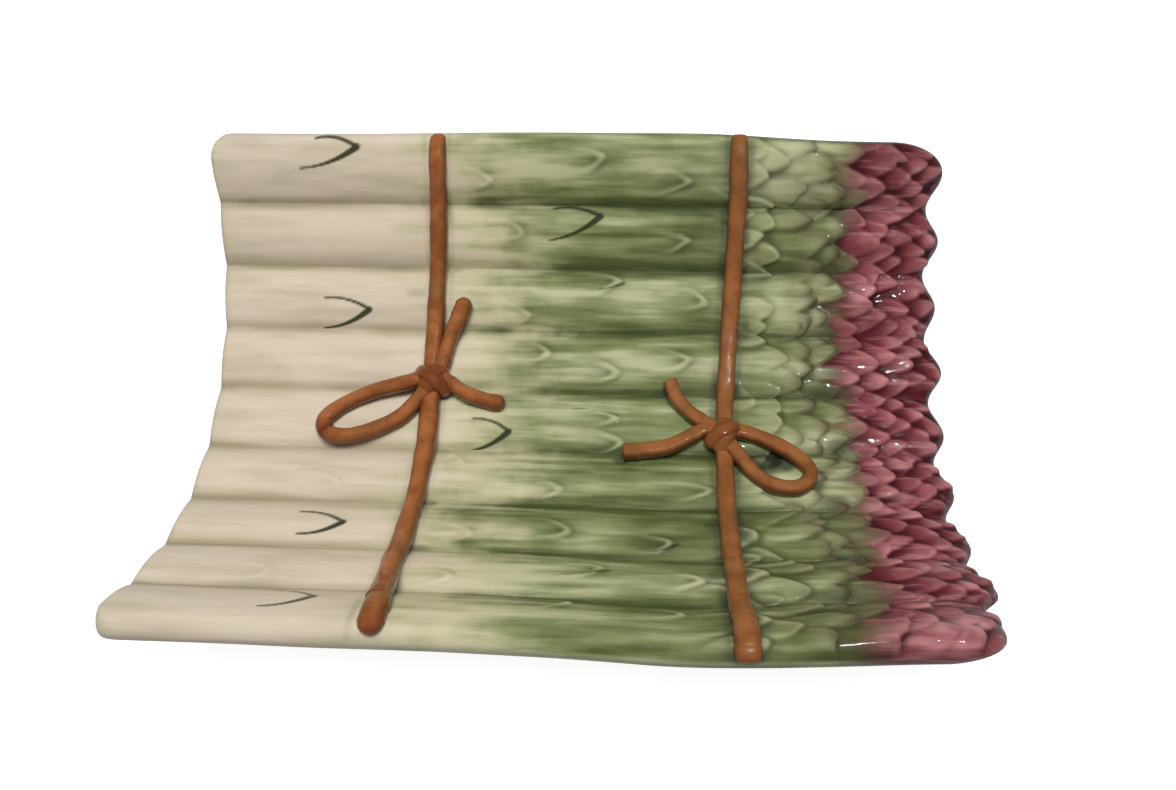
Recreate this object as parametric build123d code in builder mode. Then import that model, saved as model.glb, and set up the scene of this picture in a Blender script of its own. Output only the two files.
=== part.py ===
from build123d import *
import os
from math import cos, degrees, radians, sin, sqrt

# An asparagus serving plate in glazed earthenware: nine moulded spears luted side by side into a
# trough, tied with two clay cords that end in bows, on a foot ring.
# X runs from the butt ends to the tips, Y to the back rim, Z up. The table is at Z = 0.

# The trough and its spears
plate_length = 306.0
trough_radius = 120.0
spear_count = 9
spear_pitch = 26.6
spear_half_thickness = 6.5
spear_half_width = 14.0
crown_radius = 36.0
spear_edge = 2.4
crest_height = 2.5
web_rise = 2.5
web_drop = 3.0
web_setback = 6.5
butt_round = 3.0
butt_step = 1.05
tip_shoulder = 11.0
tip_heel = 3.5
tip_edge = 1.0
tip_setbacks = (3.2, 1.9, 1.9, 0.0, 1.6, 2.2, 2.3, 1.0, 7.5)

# The bracts on each tip: middle from the tip, offset to the side, turn, length, width
bract_rows = (
    (8.0, 0.0, 0.0, 14.0, 10.0),
    (12.5, 6.5, 12.0, 14.0, 9.0),
    (20.0, 3.8, 6.0, 17.0, 10.0),
    (30.0, 7.0, 5.0, 19.0, 10.0),
    (34.0, 0.0, 0.0, 20.0, 11.0),
)
bract_depth = 3.0
bract_rise = 1.0
bract_lift = 8.0
bract_taper = 12.0

# The foot
foot_clearance = 4.5
foot_length = 190.0
foot_width = 94.0
foot_wall = 7.0
foot_corner = 16.0

# The tie near the butts: a round cord with a long bow loop to the left
left_tie_x = -56.5
left_knot_angle = 8.0
left_cord_width = 7.5
left_cord_rise = 5.0
left_cord_edge = 2.2
left_coil_radius = 3.5
left_coil_end = 1.2
left_knot_radius = 6.2
left_wrap_lean = -28.0
left_bow_angle = 4.0
left_back_tail_angle = 18.0
left_side_tail_angle = 6.0
left_loop = ((-2.5, 9.5), (-39.0, -4.0), (-46.0, -13.5), (-34.0, -20.5), (-12.0, -11.5), (-1.5, 3.5))
left_loop_bends = (9.0, 5.5, 8.0, 18.0)
left_back_tail = ((1.5, -16.0), (5.0, -7.0), (11.5, 14.0))
left_back_tail_bend = 30.0
left_side_tail = ((3.0, 3.5), (17.0, -3.0), (30.0, -6.5))
left_side_tail_bend = 40.0

# The tie near the tips: a flatter strap with a bow loop to the right
right_tie_x = 64.0
right_knot_angle = -3.0
right_cord_width = 8.5
right_cord_rise = 4.0
right_cord_edge = 2.0
right_strap_width = 5.8
right_strap_height = 4.8
right_knot_radius = 5.8
right_wrap_lean = 28.0
right_bow_angle = -8.0
right_back_tail_angle = 2.0
right_side_tail_angle = -6.0
right_loop = ((2.0, 13.5), (24.0, 5.5), (34.0, -7.0), (24.0, -17.5), (10.0, -11.0), (1.5, 5.0))
right_loop_bends = (16.0, 8.0, 9.0, 12.0)
right_back_tail = ((-1.5, -8.0), (-16.0, -1.0), (-23.5, 13.0))
right_back_tail_bend = 18.0
right_side_tail = ((-2.0, 5.0), (-20.0, 0.5), (-41.0, -4.0))
right_side_tail_bend = 60.0

# Shared by both ties
cord_depth = 6.0
hook_wrap = 2.5
hook_bend = 6.0
hook_drop = 1.0
knot_lift = 0.8
knot_length = 9.0
knot_edge = 1.5
knot_facets = 8
coil_facets = 6
coil_lift = 2.1
wrap_width = 5.0
wrap_rise = 1.4
wrap_edge = 1.2

# Derived places
crown_drop = crown_radius - spear_half_thickness
spear_step = degrees(spear_pitch / trough_radius)
spear_radius = trough_radius - crest_height + spear_half_thickness
crest_radius = trough_radius - crest_height
axis_height = foot_clearance + spear_radius + spear_half_thickness
trough_axis = Axis((0, 0, axis_height), (1, 0, 0))
butt_x = -plate_length / 2
tip_x = plate_length / 2
rim_angle = spear_step * (spear_count - 1) / 2


def inward(angle):
    return Vector(0, -sin(radians(angle)), cos(radians(angle)))


def sideways(angle):
    return Vector(0, cos(radians(angle)), sin(radians(angle)))


def on_trough(x, angle, radius):
    return Vector(x, 0, axis_height) - inward(angle) * radius


def section_plane(x, angle):
    # Across a spear: local x to its side, local y to its crest, extruding to the tips.
    return Plane(on_trough(x, angle, spear_radius), x_dir=sideways(angle), z_dir=(1, 0, 0))


def surface_plane(x, angle, lift):
    # On the crests: local x along the plate, local y up the trough, local z off the surface.
    return Plane(on_trough(x, angle, crest_radius - lift), x_dir=(1, 0, 0), z_dir=inward(angle))


def axial_plane(angle):
    # Through the trough's axis: local x along the plate, local y out from the axis.
    return Plane((0, 0, axis_height), x_dir=(1, 0, 0), z_dir=sideways(angle))


def joint_plane(angle, towards):
    # The flat luted side between two spears, facing the spear that is kept.
    return Plane((0, 0, axis_height), x_dir=(1, 0, 0), z_dir=sideways(angle) * towards)


def free_sides(index):
    # The rim spears have one side that isn't luted to a neighbour.
    if index == 0:
        return (1,)
    if index == spear_count - 1:
        return (-1,)
    return ()


def spear_section(x, angle, free):
    # A spear cut across: two shallow crowns, squared off and softened on each free side.
    with BuildSketch(section_plane(x, angle)) as oval:
        with Locations((0, -crown_drop)):
            Circle(crown_radius)
        with Locations((0, crown_drop)):
            Circle(crown_radius, mode=Mode.INTERSECT)
        for side in free:
            with Locations((2 * side * spear_half_width, 0)):
                Rectangle(2 * spear_half_width, 4 * spear_half_thickness, mode=Mode.SUBTRACT)
            square = [corner for corner in oval.vertices() if abs(corner.X - side * spear_half_width) < 0.1]
            chamfer(square, spear_edge)
    return oval.sketch


def tip_section(x, angle):
    # The half section that turns into a tip: the upper crown, a sloping side, flat below.
    with BuildSketch(section_plane(x, angle)) as outline:
        with BuildLine():
            Polyline(
                (0, -tip_heel),
                (0, spear_half_thickness),
                (-tip_shoulder, spear_half_thickness),
                (-spear_half_width, -tip_edge),
                (-spear_half_width, -tip_heel),
                close=True,
            )
        make_face()
        with Locations((0, -crown_drop)):
            Circle(crown_radius, mode=Mode.INTERSECT)
    return outline.sketch


def under_tip(tip, angle):
    # The sloping cut under a tip, from the shaft's underside to the tip's edge
    nose = section_plane(tip - spear_half_width, angle)
    slope = nose.z_dir * spear_half_width + nose.y_dir * (tip_heel - tip_edge)
    return Plane(nose.origin - nose.y_dir * tip_heel, x_dir=slope, z_dir=slope.cross(nose.x_dir))


def bract_place(nose_x, angle, setback, side, turn, tip):
    # Where a bract sits on the rounded tip: its long axis lies on the skin, tip end lifted.
    run = max(0.0, tip - setback - nose_x)
    height = sqrt(crown_radius ** 2 - side ** 2 - run ** 2)
    skin = section_plane(tip - setback, angle)
    normal = (skin.z_dir * run + skin.x_dir * side + skin.y_dir * height).normalized()
    along = skin.z_dir * cos(radians(turn)) - skin.x_dir * sin(radians(turn))
    along = (along - normal * along.dot(normal)).normalized()
    seat = Plane(skin.from_local_coords((side, height - crown_drop)), x_dir=along, z_dir=normal)
    return seat.rotated((0, -bract_lift, 0))


os.makedirs("parts", exist_ok=True)


def finish(part, name):
    part.label = name
    export_step(part, f"parts/{name}.step")


# Bracts: pointed scales with sloping edges, one blank for each row of the tip
bract_blanks = []
for setback, side, turn, length, width in bract_rows:
    with BuildPart() as blank:
        with BuildSketch(Plane.XY.offset(-bract_depth)):
            with BuildLine():
                Polyline(
                    (-length / 2, 0),
                    (-length / 8, -width / 2),
                    (length / 2, 0),
                    (-length / 8, width / 2),
                    close=True,
                )
            make_face()
        extrude(amount=bract_depth + bract_rise, taper=bract_taper)
    bract_blanks.append(blank.part)

# Spears: each a crowned bar with a rounded tip, flat where it is luted to its neighbours
for index in range(spear_count):
    angle = rim_angle - index * spear_step
    butt = butt_x + index * butt_step
    tip = tip_x - tip_setbacks[index]
    nose_x = tip - spear_half_width
    free = free_sides(index)
    joints = [joint_plane(angle + side * spear_step / 2, -side) for side in (-1, 1) if side not in free]
    with BuildPart() as spear:
        extrude(spear_section(butt, angle, free), amount=nose_x - butt)
        for joint in joints:
            split(bisect_by=joint, keep=Keep.TOP)
        nose = section_plane(nose_x, angle)
        shown = []
        for line in spear.faces().sort_by(Axis.X)[0].edges():
            side = 1 if nose.to_local_coords(line.center()).X > 0 else -1
            if line.geom_type == GeomType.CIRCLE or side in free:
                shown.append(line)
        chamfer(shown, butt_round)
        revolve(tip_section(nose_x, angle), axis=Axis(nose.origin, nose.y_dir), revolution_arc=180)
        for (setback, side, turn, length, width), blank in zip(bract_rows, bract_blanks):
            sides = (0,) if side == 0 else (-1, 1)
            for sign in sides:
                place = bract_place(nose_x, angle, setback, sign * side, sign * turn, tip)
                with Locations(place.location):
                    add(blank)
        with BuildSketch(nose):
            for side in (-1, 1):
                if side not in free:
                    with Locations((side * spear_pitch / 2, (web_rise - web_drop) / 2)):
                        Rectangle(spear_pitch, web_rise + web_drop)
        extrude(amount=spear_half_width - web_setback)
        split(bisect_by=under_tip(tip, angle), keep=Keep.TOP)
        for joint in joints:
            split(bisect_by=joint, keep=Keep.TOP)
    finish(spear.part, f"spear_{index + 1}")

# The bed: the spears' shafts as one bar, which the foot and the ties are cut to sit on
with BuildPart() as bed:
    for index in range(spear_count):
        section = spear_section(butt_x, rim_angle - index * spear_step, free_sides(index))
        extrude(section, amount=plate_length)

# Foot ring: a rounded frame under the trough, its top cut to the spears' underside
with BuildPart() as foot_ring:
    with BuildSketch(Plane.XY):
        RectangleRounded(foot_length, foot_width, foot_corner)
        RectangleRounded(
            foot_length - 2 * foot_wall,
            foot_width - 2 * foot_wall,
            foot_corner - foot_wall,
            mode=Mode.SUBTRACT,
        )
    extrude(amount=axis_height)
    with BuildSketch(Plane.YZ.offset(butt_x)):
        with Locations((0, axis_height)):
            Circle(spear_radius)
    extrude(amount=plate_length, mode=Mode.SUBTRACT)
    add(bed.part, mode=Mode.SUBTRACT)
finish(foot_ring.part, "foot_ring")


def rim_hook(x, width, rise, angle, outward, edge):
    # The cord's end, bent down over the outer side of a rim spear
    reach = spear_half_width + hook_wrap
    crest = crown_radius + rise
    with BuildPart() as hook:
        with BuildSketch(section_plane(x - width / 2, angle)) as outline:
            with Locations((0, -crown_drop)):
                Circle(crest)
            with Locations((outward * reach / 2, crest / 2 - hook_drop)):
                Rectangle(reach, crest, mode=Mode.INTERSECT)
            chamfer(outline.vertices().sort_by_distance((outward * reach, crest))[0], hook_bend)
        extrude(amount=width)
        lines = hook.faces().filter_by(Axis.X).edges()
        places = [section_plane(0, angle).to_local_coords(line.center()) for line in lines]
        shown = [
            line
            for line, place in zip(lines, places)
            if place.X * outward > 1 and place.Y > -hook_drop / 2
        ]
        chamfer(shown, edge)
        add(bed.part, mode=Mode.SUBTRACT)
    return hook.part


def strand(x, start, arc, width, rise, edge, cutters):
    # A length of cord laid round the trough, pressed down into the grooves
    height = rise + cord_depth
    with BuildPart() as cord:
        with BuildSketch(axial_plane(start)) as section:
            with Locations((x, crest_radius - rise + height / 2)):
                Rectangle(width, height)
            chamfer(section.vertices(), edge)
        revolve(axis=trough_axis, revolution_arc=arc)
        add(cutters, mode=Mode.SUBTRACT)
    return cord.part


def knot_roll(x, angle, radius):
    # The knot's first turn: a short roll round the two strands, pressed on to the crests
    heart = surface_plane(x, angle, knot_lift)
    end = Plane(heart.origin - heart.y_dir * knot_length / 2, x_dir=heart.x_dir, z_dir=heart.y_dir)
    with BuildPart() as roll:
        with BuildSketch(end):
            RegularPolygon(radius, knot_facets)
        extrude(amount=knot_length)
        ends = roll.faces().filter_by(Axis(end.origin, end.z_dir))
        chamfer(ends.edges(), knot_edge)
        add(bed.part, mode=Mode.SUBTRACT)
    return roll.part


def knot_wrap(x, angle, radius, lean, roll):
    # The second turn, which crosses over the roll
    heart = surface_plane(x, angle, knot_lift).rotated((0, 0, lean))
    with BuildPart() as wrap:
        with BuildSketch(Plane(heart.origin, x_dir=heart.x_dir, z_dir=heart.y_dir * -1)):
            RegularPolygon(radius + wrap_rise, knot_facets)
        extrude(amount=wrap_width / 2, both=True)
        chamfer(wrap.faces().filter_by(Axis(heart.origin, heart.y_dir)).edges(), wrap_edge)
        split(bisect_by=heart, keep=Keep.TOP)
        add([roll, bed.part], mode=Mode.SUBTRACT)
    return wrap.part


def coil(plane, points, bends, round_end, cutters):
    # A hand-rolled coil of the tie near the butts, laid flat on the crests, with a softened free end
    with BuildPart() as rolled:
        with BuildLine(plane) as path:
            FilletPolyline(*points, radius=bends)
        with BuildSketch(Plane(path.line @ 0, z_dir=path.line % 0)):
            RegularPolygon(left_coil_radius, coil_facets)
        sweep(path=path.line)
        if round_end:
            chamfer(rolled.faces().sort_by_distance(path.line @ 1)[0].edges(), left_coil_end)
        add(cutters, mode=Mode.SUBTRACT)
    return rolled.part


def strap(plane, points, bends, cutters):
    # A flat strap of the tie near the tips, cut square at its free end
    with BuildPart() as band:
        with BuildLine(plane) as path:
            FilletPolyline(*points, radius=bends)
        with BuildSketch(Plane(path.line @ 0, x_dir=plane.z_dir, z_dir=path.line % 0)):
            Rectangle(right_strap_height, right_strap_width)
        sweep(path=path.line)
        add(cutters, mode=Mode.SUBTRACT)
    return band.part


# The tie near the butts: knot, two strands, the end over the front rim, then the bow
left_size = (left_cord_width, left_cord_rise)
left_knot = knot_roll(left_tie_x, left_knot_angle, left_knot_radius)
finish(left_knot, "left_knot")
left_wrap = knot_wrap(left_tie_x, left_knot_angle, left_knot_radius, left_wrap_lean, left_knot)
finish(left_wrap, "left_knot_wrap")
laid = [bed.part, left_knot, left_wrap]

back_arc = rim_angle - left_knot_angle
back_run = strand(left_tie_x, left_knot_angle, back_arc, *left_size, left_cord_edge, laid)
back_hook = rim_hook(left_tie_x, *left_size, rim_angle, 1, left_cord_edge)
with BuildPart() as left_back_strand:
    add([back_run, back_hook])
finish(left_back_strand.part, "left_back_strand")
front_arc = rim_angle + left_knot_angle
front_run = strand(left_tie_x, -rim_angle, front_arc, *left_size, left_cord_edge, laid)
finish(front_run, "left_front_strand")
finish(rim_hook(left_tie_x, *left_size, -rim_angle, -1, left_cord_edge), "left_front_end")
laid = laid + [left_back_strand.part, front_run]

bow_plane = surface_plane(left_tie_x, left_bow_angle, coil_lift)
loop = coil(bow_plane, left_loop, left_loop_bends, False, laid)
finish(loop, "left_bow_loop")
tail_plane = surface_plane(left_tie_x, left_back_tail_angle, coil_lift)
back_tail = coil(tail_plane, left_back_tail, left_back_tail_bend, True, laid + [loop])
finish(back_tail, "left_tail_back")
tail_plane = surface_plane(left_tie_x, left_side_tail_angle, coil_lift)
side_tail = coil(tail_plane, left_side_tail, left_side_tail_bend, True, laid + [loop, back_tail])
finish(side_tail, "left_tail_side")

# The tie near the tips, in the same order
right_size = (right_cord_width, right_cord_rise)
right_knot = knot_roll(right_tie_x, right_knot_angle, right_knot_radius)
finish(right_knot, "right_knot")
right_wrap = knot_wrap(right_tie_x, right_knot_angle, right_knot_radius, right_wrap_lean, right_knot)
finish(right_wrap, "right_knot_wrap")
laid = [bed.part, right_knot, right_wrap]

back_arc = rim_angle - right_knot_angle
back_run = strand(right_tie_x, right_knot_angle, back_arc, *right_size, right_cord_edge, laid)
back_hook = rim_hook(right_tie_x, *right_size, rim_angle, 1, right_cord_edge)
with BuildPart() as right_back_strand:
    add([back_run, back_hook])
finish(right_back_strand.part, "right_back_strand")
front_arc = rim_angle + right_knot_angle
front_run = strand(right_tie_x, -rim_angle, front_arc, *right_size, right_cord_edge, laid)
finish(front_run, "right_front_strand")
finish(rim_hook(right_tie_x, *right_size, -rim_angle, -1, right_cord_edge), "right_front_end")
laid = laid + [right_back_strand.part, front_run]

bow_plane = surface_plane(right_tie_x, right_bow_angle, coil_lift)
loop = strap(bow_plane, right_loop, right_loop_bends, laid)
finish(loop, "right_bow_loop")
tail_plane = surface_plane(right_tie_x, right_back_tail_angle, coil_lift)
back_tail = strap(tail_plane, right_back_tail, right_back_tail_bend, laid + [loop])
finish(back_tail, "right_tail_back")
tail_plane = surface_plane(right_tie_x, right_side_tail_angle, coil_lift)
side_tail = strap(tail_plane, right_side_tail, right_side_tail_bend, laid + [loop, back_tail])
finish(side_tail, "right_tail_side")
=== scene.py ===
import math
import bpy
import numpy as np
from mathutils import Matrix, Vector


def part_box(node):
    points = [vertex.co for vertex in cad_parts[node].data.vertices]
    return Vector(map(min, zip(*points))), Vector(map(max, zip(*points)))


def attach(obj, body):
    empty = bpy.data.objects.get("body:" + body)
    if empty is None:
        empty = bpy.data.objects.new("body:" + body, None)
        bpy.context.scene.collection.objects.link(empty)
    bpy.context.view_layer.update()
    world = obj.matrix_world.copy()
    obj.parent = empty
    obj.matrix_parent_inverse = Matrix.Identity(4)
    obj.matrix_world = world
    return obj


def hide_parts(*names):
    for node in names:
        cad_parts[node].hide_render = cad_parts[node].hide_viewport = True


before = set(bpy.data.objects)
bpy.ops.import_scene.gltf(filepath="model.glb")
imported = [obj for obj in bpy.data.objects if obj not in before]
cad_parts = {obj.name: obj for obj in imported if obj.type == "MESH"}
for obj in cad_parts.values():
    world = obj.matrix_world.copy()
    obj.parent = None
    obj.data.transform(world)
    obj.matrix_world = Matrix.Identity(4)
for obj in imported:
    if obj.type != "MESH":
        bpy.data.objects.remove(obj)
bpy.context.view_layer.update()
bpy.context.scene.view_settings.view_transform = "Standard"

# Spears: nine bars of pressed earthenware, luted side by side on radial joints into a trough.
# Each has a round butt, a crowned shaft with raised leaves, and a tip of overlapping bracts.
# Sizes are in millimetres and degrees, and become metres when a mesh is written.
spear_count = 9
axis_height = 135.0
spear_radius = 124.0
spear_pitch = 26.6
groove_radius = 120.0
spear_step = math.degrees(spear_pitch / groove_radius)
rim_angle = (spear_count - 1) / 2 * spear_step

# Section of a bar: its crown, its joints, the clay that fills the grooves, and its underside
crown_radius = 36.0
crown_drop = 29.5
half_width = 14.0
joint_half = 13.37
groove_soft = 0.7
tip_fill = 2.4
edge_round = 3.8
edge_middle = -0.5
under_heel = 3.5
under_slope = 2.5 / 14.0

# Ends of a bar: the rounded nose, whose last ring stays open just short of a quarter turn,
# the valleys between the tips, and the rounding of the butts
nose_length = 17.0
nose_swing = 89.3
tip_swell = 1.2
valley_depth = 5.4
least_valley = 1.5
butt_round = 3.5
butt_edge = 0.45
butt_corner = 9.0
front_butt_draw = 1.3

# Rims: half width and nose of the back one, nose of the front one, and how the kiln bent them
back_rim = 14.8
back_rim_nose = 22.0
back_rim_taper = 1.8
back_rim_bulge = 1.2
front_rim_nose = 18.0
front_nose_side = 4.0
rim_spring = 3.1
tip_spring = 4.6


def smooth_step(low, high, value):
    # A soft rise from 0 at low to 1 at high
    share = np.clip((value - low) / (high - low), 0.0, 1.0)
    return share * share * (3.0 - 2.0 * share)


def crown(reach):
    # Height of a spear's crown at a distance from its middle line
    return np.sqrt(np.maximum(crown_radius ** 2 - reach ** 2, 0.0)) - crown_drop


def clay_wobble(x, angle):
    # The slight unevenness of hand-pressed clay, the same on both sides of a joint
    first = np.sin(x * 0.045 + angle * 0.21) * np.sin(angle * 0.13 + 1.7)
    second = np.sin(x * 0.021 - angle * 0.09 + 0.6) + 0.6 * np.sin(x * 0.11 + angle * 0.33)
    return 0.16 * first + 0.12 * second


def rim_lean(x, angle):
    # How far the front rim springs to the back: most at the butts and at the tips
    spring = rim_spring * smooth_step(-80.0, 40.0, -x) + tip_spring * smooth_step(30.0, 140.0, x)
    return spring * smooth_step(5.0, 50.0, -angle)


def tip_place(number):
    # Where a spear's tip ends along X
    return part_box(f"spear_{number}")[1].x * 1000 + tip_swell


def butt_place(number):
    # Where a spear's butt ends along X
    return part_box(f"spear_{number}")[0].x * 1000


# Raised leaves on the shafts: spear, place of the point along X, its offset to the back
shaft_leaves = (
    (1, -32.3, -3.0), (1, 14.4, 6.0), (1, 49.0, -3.0), (2, -19.0, 2.0), (2, 50.0, -1.0),
    (3, 21.3, 8.0), (3, 56.7, 0.0), (3, -16.2, -6.0), (4, -7.6, 4.0), (4, 51.7, 2.0),
    (4, 21.0, -4.0), (5, 21.0, 2.0), (5, 24.0, -9.0), (6, 0.0, -6.0), (6, 58.4, -5.0),
    (6, -85.9, -5.0), (6, -39.9, 6.0), (7, 4.6, -2.0), (7, 43.5, -6.0), (7, -31.2, -6.0),
    (8, -34.1, -6.0), (8, 19.0, 3.0), (8, 53.0, -2.0), (8, -98.1, -5.0), (9, 45.0, 3.0),
    (9, 9.0, 6.0),
)
shaft_leaf_rise = 0.25
# Rows of bracts on a tip: how far back the points lie from its edge, and their offsets to the side
bract_rows = (
    (0.8, (0.0, 7.6, -7.6)),
    (6.4, (-4.0, 4.2, 12.4)),
    (13.0, (0.3, 8.6, -8.6)),
    (20.5, (-4.6, 4.6, -12.6)),
    (28.5, (0.4, -8.8, 8.8)),
    (37.5, (-5.2, 5.4, 12.6)),
    (47.0, (0.4, -9.6, 9.6)),
    (57.5, (-5.8, 6.0)),
    (68.0, (0.6, 11.0, -11.0)),
)
bract_width = 13.4
bract_length = 26.0
bract_lip = 0.15


def spear_leaves(number):
    # The bracts of one tip, each a little out of place, and the leaves of its shaft:
    # point along X and to the side, turn, width, length, height, height of the lip, shade
    tip = tip_place(number)
    draw = np.random.default_rng(40 + number)
    flip = -1.0 if number % 2 else 1.0
    leaves = []
    for setback, offsets in bract_rows:
        for offset in offsets:
            size = min(1.1, 0.66 + setback / 60.0)
            side = flip * offset + draw.uniform(-1.5, 1.5)
            edge = 0.5 - 0.5 * math.cos(min(abs(side) / joint_half, 1.0) * math.pi)
            edge = valley_depth * edge * max(0.0, 1.0 - setback / 40.0)
            place = tip - edge - setback * draw.uniform(0.86, 1.16) - draw.uniform(0.0, 0.6)
            if number == spear_count:
                side = side + front_nose_side * max(0.0, 1.0 - setback / 25.0)
            width = bract_width * size * draw.uniform(0.84, 1.2)
            length = bract_length * size * draw.uniform(0.86, 1.2)
            turn = 0.2 * side / 10.0 + draw.uniform(-0.14, 0.14)
            height = draw.uniform(1.2, 2.0)
            shade = draw.uniform(-1.0, 1.0)
            leaves.append((place, side, turn, width, length, height, bract_lip, shade))
    for spear, place, side in shaft_leaves:
        if spear == number:
            lip = 0.7 if place < -60 else 0.9
            length = draw.uniform(20.0, 27.0)
            width = draw.uniform(10.5, 12.5)
            turn = draw.uniform(-0.06, 0.06)
            leaves.append((place, side, turn, width, length, shaft_leaf_rise, lip, 0.0))
    return leaves


# Form of every leaf: where it is widest as a share of its length, how blunt its point is,
# and how much it narrows towards its foot
leaf_belly = 0.62
leaf_point = 0.74
leaf_foot = 0.3


def leaf_relief(x, side, leaves, relief, lead, tone, near):
    # Raises leaves that point to the tip and lie over the next ones. It also notes, for the leaf that
    # shows at each point, where its tip is (lead), its shade (tone), and how near its rim is (near).
    drift = len(leaves) + leaves[0][1]
    x = x + 0.8 * np.sin(0.3 * side + 0.11 * x + drift)
    side = (side + 0.7 * np.sin(0.23 * x + 1.7 * drift)
            + 0.25 * np.sin(0.5 * side + 0.17 * x + drift))
    for tip_x, tip_side, turn, width, length, height, lip, shade in leaves:
        back = tip_x - x
        share = np.clip(back / length, 0.0, 1.0)
        belly = np.clip(share / leaf_belly, 0.0, 1.0)
        half = width / 2 * np.power(1.0 - (1.0 - belly) ** 2, leaf_point)
        foot = np.clip((share - leaf_belly) / (1.0 - leaf_belly), 0.0, 1.0)
        half = np.maximum(half * (1.0 - leaf_foot * foot ** 2), 0.01)
        offset = np.abs(side - tip_side - turn * back)
        inset = np.minimum(half - offset, back * 0.7)
        edge = smooth_step(-0.3, 1.5, inset)
        swell = 1.0 - 0.22 * np.clip(offset / half, 0.0, 1.0) ** 2
        rise = height * edge * swell * np.power(1.0 - share, 1.5)
        fading = np.power(1.0 - share, 2.0)
        rise = rise + lip * edge * np.exp(-((inset - 1.4) / 1.2) ** 2) * fading
        rise = np.where((back > -0.2) & (back < length), rise, 0.0)
        shows = rise > relief + 0.02
        lead = np.where(shows, tip_x, lead)
        tone = np.where(shows, shade, tone)
        near = np.where(shows, np.exp(-np.maximum(inset, 0.0) / 3.2) * fading, near)
        relief = np.maximum(relief, rise)
    return relief, lead, tone, near


def spread(values, passes):
    # Averages each point with its neighbours along and across the bar
    for _ in range(passes):
        wide = np.pad(values, 1, mode="edge")
        values = 0.25 * (2.0 * wide[1:-1, 1:-1] + wide[:-2, 1:-1] + wide[2:, 1:-1])
        wide = np.pad(values, 1, mode="edge")
        values = 0.25 * (2.0 * wide[1:-1, 1:-1] + wide[1:-1, :-2] + wide[1:-1, 2:])
    return values


# Painted marks: spear, point, end of the arm to the back, end of the arm to the front
painted_marks = (
    (1, (-89.7, 10.5), (-107.4, 13.5), (-113.9, 1.8)),
    (2, (11.2, 9.3), (-8.3, 12.2), (-9.9, -0.8)),
    (3, (-86.8, -4.9), (-106.0, -0.3), (-106.2, -13.0)),
    (5, (-23.9, -5.5), (-38.9, -0.2), (-41.1, -14.0)),
    (7, (-81.4, -1.6), (-99.1, 3.8), (-97.4, -7.6)),
    (9, (-77.6, 3.1), (-93.4, 8.8), (-92.8, -5.1)),
)
mark_bulge = 1.7
mark_thin = 0.4
mark_back_arm = 0.8
mark_front_arm = 1.35
# Single strokes under some leaves: spear, start, end, bulge, half width at the start and at the end
single_strokes = (
    (8, (0.3, -1.8), (19.5, 2.6), -0.8, 0.15, 0.7),
    (3, (11.0, 5.4), (21.4, 8.0), -0.6, 0.15, 0.6),
    (5, (2.0, 5.4), (20.0, 2.4), 0.8, 0.1, 0.4),
    (7, (34.0, -9.6), (43.5, -6.4), -0.8, 0.15, 0.55),
)
single_strength = 0.75


def stroke_cover(x, side, start, end, bulge, start_half, end_half):
    # How much of a brush stroke covers each point: an arc from start to end that swells on the way
    cover = np.zeros_like(x)
    run = np.array(end) - np.array(start)
    across = np.array((-run[1], run[0])) / np.hypot(*run)
    for share in np.linspace(0.0, 1.0, 60):
        middle = np.array(start) + run * share + across * bulge * 4.0 * share * (1.0 - share)
        half = start_half + (end_half - start_half) * share ** 1.5
        reach = np.hypot(x - middle[0], side - middle[1])
        cover = np.maximum(cover, 1.0 - smooth_step(half - 0.25, half + 0.35, reach))
    return cover


def brush_strokes(number, x, side):
    # The painted marks of one spear, two arms to each, and its single strokes
    stroke = np.zeros_like(x)
    for spear, point, back_arm, front_arm in painted_marks:
        if spear == number:
            for arm, bulge, half in (
                (back_arm, mark_bulge, mark_back_arm), (front_arm, -mark_bulge, mark_front_arm),
            ):
                cover = stroke_cover(x, side, arm, point, bulge, mark_thin, half)
                stroke = np.maximum(stroke, cover)
    for spear, start, end, bulge, start_half, end_half in single_strokes:
        if spear == number:
            cover = stroke_cover(x, side, start, end, bulge, start_half, end_half)
            stroke = np.maximum(stroke, single_strength * cover)
    return stroke


# Dark glaze that has run together, and painted shade beside the ties and in the right bow loop's
# hole: place along X, angle, reach along, reach across, amount
run_and_shade_spots = (
    (79.5, -8.2, 9.0, 5.0, 1.0), (86.5, -9.0, 4.5, 3.2, 0.8), (22.0, -8.8, 3.0, 2.2, 0.6),
    (37.5, 6.4, 3.4, 2.0, 0.5), (58.0, -24.0, 4.5, 2.6, 0.7), (57.0, -37.5, 4.0, 2.2, 0.6),
    (60.0, 2.6, 3.0, 3.0, 0.4), (-51.5, -19.5, 3.4, 2.4, 0.6), (-51.0, -31.5, 4.5, 2.0, 0.5),
    (-50.0, -7.5, 3.0, 3.0, 0.35), (-50.5, 31.5, 4.0, 1.6, 0.25), (-63.0, 45.0, 2.0, 3.0, 0.2),
    (-72.0, 31.5, 10.0, 1.6, 0.22), (-66.0, 26.5, 5.0, 1.6, 0.2), (-139.0, 44.8, 5.0, 1.8, 0.2),
    (111.0, 45.6, 5.0, 2.6, 0.5), (106.0, 33.0, 6.0, 2.4, 0.5), (107.0, 20.6, 6.0, 3.0, 0.55),
    (104.0, 8.0, 6.0, 3.0, 0.45), (108.0, -4.0, 5.0, 3.4, 0.6), (104.0, -17.0, 6.0, 3.0, 0.5),
    (106.0, -32.0, 9.0, 3.4, 0.65), (98.0, -46.0, 9.0, 3.0, 0.6), (94.0, -42.5, 12.0, 2.4, 0.5),
    (69.6, -27.0, 2.2, 4.0, 0.5), (72.5, 20.0, 2.2, 6.0, 0.4),
)
arc_per_degree = 2.05
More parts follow.
